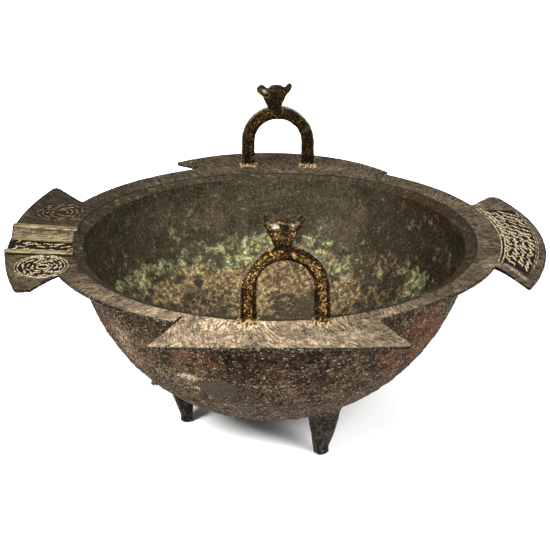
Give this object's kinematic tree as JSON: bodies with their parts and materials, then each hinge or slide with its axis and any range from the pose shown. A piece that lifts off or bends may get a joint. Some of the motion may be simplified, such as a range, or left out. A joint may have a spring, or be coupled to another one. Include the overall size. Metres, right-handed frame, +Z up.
{
  "type": "tripod cauldron",
  "caption": "Deep round-bottomed cast bronze cauldron on tapered feet, with a wide flanged rim, a pouring trough and arched handles.",
  "frame": {"origin": "middle of the bounding box in plan, on the floor plane that the feet stand on", "axes": "+Z up, the pouring trough points to -X, the fan-shaped flange to +X, the picture's viewer stands on the -Y side"},
  "size_m": [0.5896, 0.5832, 0.3344],
  "materials": {
    "bowl_bronze": "old bronze: dark olive-brown patina with verdigris inside, rough red-brown crust outside, scratched rim",
    "handle_bronze": "dark pitted bronze with golden-brown speckle, worn glossy on the heads",
    "foot_bronze": "near-black bronze with pale dirt specks"
  },
  "bodies": {
    "root": {"bowl": "bowl_bronze", "handle_front": "handle_bronze", "handle_back": "handle_bronze", "foot_left": "foot_bronze", "foot_front": "foot_bronze", "foot_back": "foot_bronze"}
  },
  "joints": []
}
